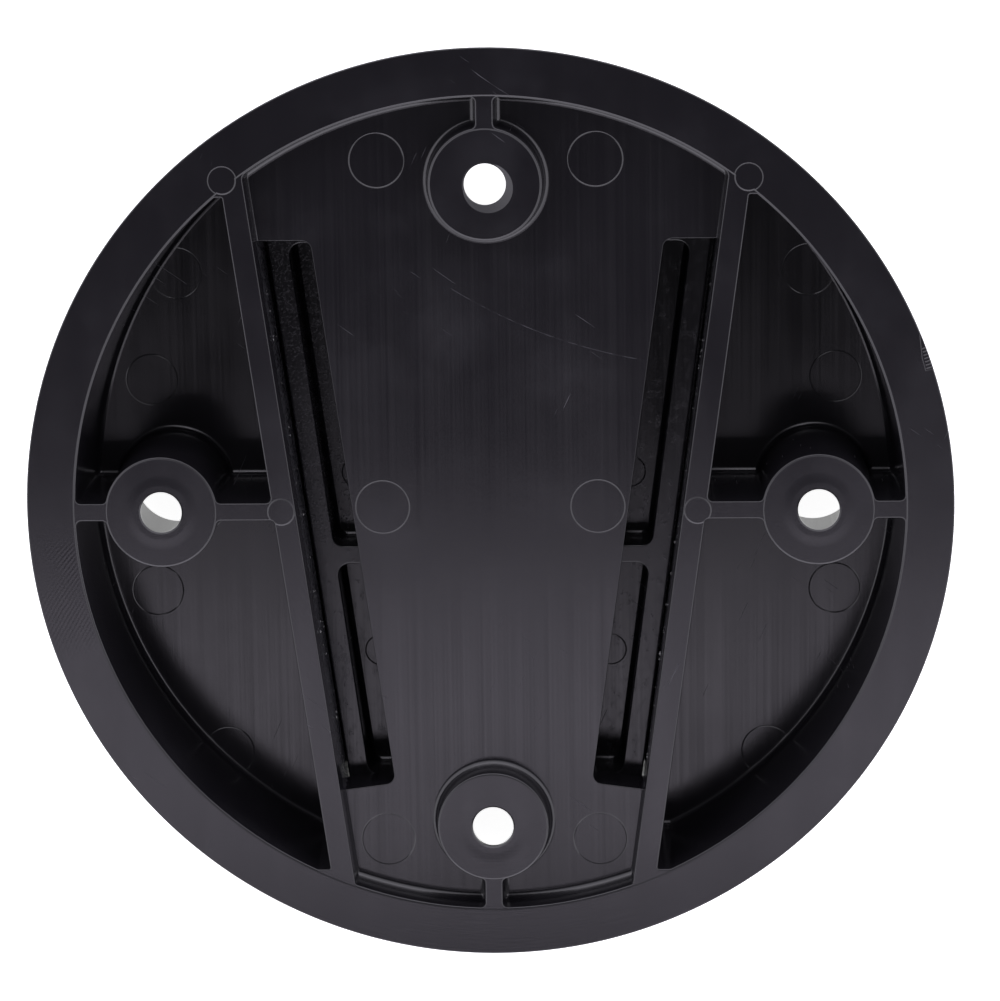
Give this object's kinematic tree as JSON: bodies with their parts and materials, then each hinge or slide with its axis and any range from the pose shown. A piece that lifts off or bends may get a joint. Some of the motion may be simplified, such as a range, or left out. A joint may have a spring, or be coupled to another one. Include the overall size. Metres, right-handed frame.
{
  "type": "wedge-lock mounting flange",
  "caption": "Round plastic mounting flange with a ribbed, recessed back, a ring of screw bosses and a tapered wedge that slides into a socket behind its web.",
  "frame": {"origin": "under the centre of the bolt circle, on the plane of the wedge's front pad", "axes": "+Z out of the open back face; +Y towards the wide end of the socket, where the wedge slides out"},
  "size_m": [0.1524, 0.1524, 0.028],
  "materials": {
    "base_plastic": "satin black moulded plastic with fine machining lines and light scratches",
    "wedge_plastic": "satin black moulded plastic, scuffed along its edge strips"
  },
  "bodies": {
    "base": {"base": "base_plastic"},
    "wedge": {"wedge": "wedge_plastic"}
  },
  "joints": [
    {"name": "wedge_slide", "type": "slide", "parent": "base", "child": "wedge", "axis": [0, 1, 0], "range_m": [0, 0.13]}
  ]
}
